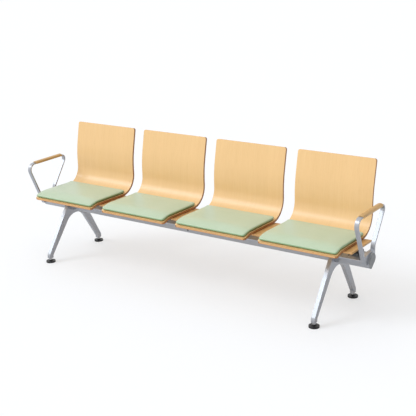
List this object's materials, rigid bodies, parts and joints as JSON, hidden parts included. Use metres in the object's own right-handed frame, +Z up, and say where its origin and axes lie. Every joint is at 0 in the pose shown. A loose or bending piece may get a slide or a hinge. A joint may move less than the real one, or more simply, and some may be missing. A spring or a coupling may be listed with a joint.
{
  "type": "beam seating bench",
  "caption": "Free-standing bench on a beam, with moulded plywood seat shells, upholstered seat pads, boards between the seats, looped armrests and arched legs on levelling glides",
  "frame": {"origin": "on the floor, below the middle of the bench's footprint", "axes": "+X along the beam to the right of someone who faces the bench, +Y from its front to its back, +Z up"},
  "size_m": [2.16, 0.48, 0.75],
  "materials": {
    "shell_veneer": "clear-lacquered light veneer, satin",
    "pad_cover": "smooth sage-green upholstery vinyl, low sheen",
    "pad_board": "raw thin plywood",
    "board_laminate": "light veneer, satin lacquer",
    "frame_metal": "satin silver-grey powder coat",
    "rest_wood": "oiled hardwood, satin",
    "cap_plastic": "moulded grey plastic, fine matt grain",
    "foot_plastic": "black moulded plastic",
    "zinc_steel": "zinc-plated steel"
  },
  "bodies": {
    "bench": {"seat_shell_1": "shell_veneer", "seat_bracket_1": "frame_metal", "pad_base_1": "pad_board", "seat_pad_1": "pad_cover", "seat_shell_2": "shell_veneer", "seat_bracket_2": "frame_metal", "pad_base_2": "pad_board", "seat_pad_2": "pad_cover", "seat_shell_3": "shell_veneer", "seat_bracket_3": "frame_metal", "pad_base_3": "pad_board", "seat_pad_3": "pad_cover", "seat_shell_4": "shell_veneer", "seat_bracket_4": "frame_metal", "pad_base_4": "pad_board", "seat_pad_4": "pad_cover", "end_board_left": "board_laminate", "spacer_board_1": "board_laminate", "spacer_board_2": "board_laminate", "spacer_board_3": "board_laminate", "end_board_right": "board_laminate", "board_bracket_1": "frame_metal", "board_bracket_2": "frame_metal", "board_bracket_3": "frame_metal", "board_bracket_4": "frame_metal", "board_bracket_5": "frame_metal", "leg_left": "frame_metal", "armrest_frame_left": "frame_metal", "armrest_pad_left": "rest_wood", "beam_end_cap_left": "cap_plastic", "leg_right": "frame_metal", "armrest_frame_right": "frame_metal", "armrest_pad_right": "rest_wood", "beam_end_cap_right": "cap_plastic", "beam": "frame_metal", "seat_bracket_bolts": "zinc_steel", "leg_bolts": "zinc_steel"},
    "glide_front_left": {"glide_foot_front_left": "foot_plastic", "glide_stem_front_left": "zinc_steel"},
    "glide_rear_left": {"glide_foot_rear_left": "foot_plastic", "glide_stem_rear_left": "zinc_steel"},
    "glide_front_right": {"glide_foot_front_right": "foot_plastic", "glide_stem_front_right": "zinc_steel"},
    "glide_rear_right": {"glide_foot_rear_right": "foot_plastic", "glide_stem_rear_right": "zinc_steel"}
  },
  "joints": [
    {"name": "level_front_left", "type": "slide", "parent": "bench", "child": "glide_front_left", "axis": [0, 0, -1], "range_m": [0, 0.012]},
    {"name": "level_rear_left", "type": "slide", "parent": "bench", "child": "glide_rear_left", "axis": [0, 0, -1], "range_m": [0, 0.012]},
    {"name": "level_front_right", "type": "slide", "parent": "bench", "child": "glide_front_right", "axis": [0, 0, -1], "range_m": [0, 0.012]},
    {"name": "level_rear_right", "type": "slide", "parent": "bench", "child": "glide_rear_right", "axis": [0, 0, -1], "range_m": [0, 0.012]}
  ]
}
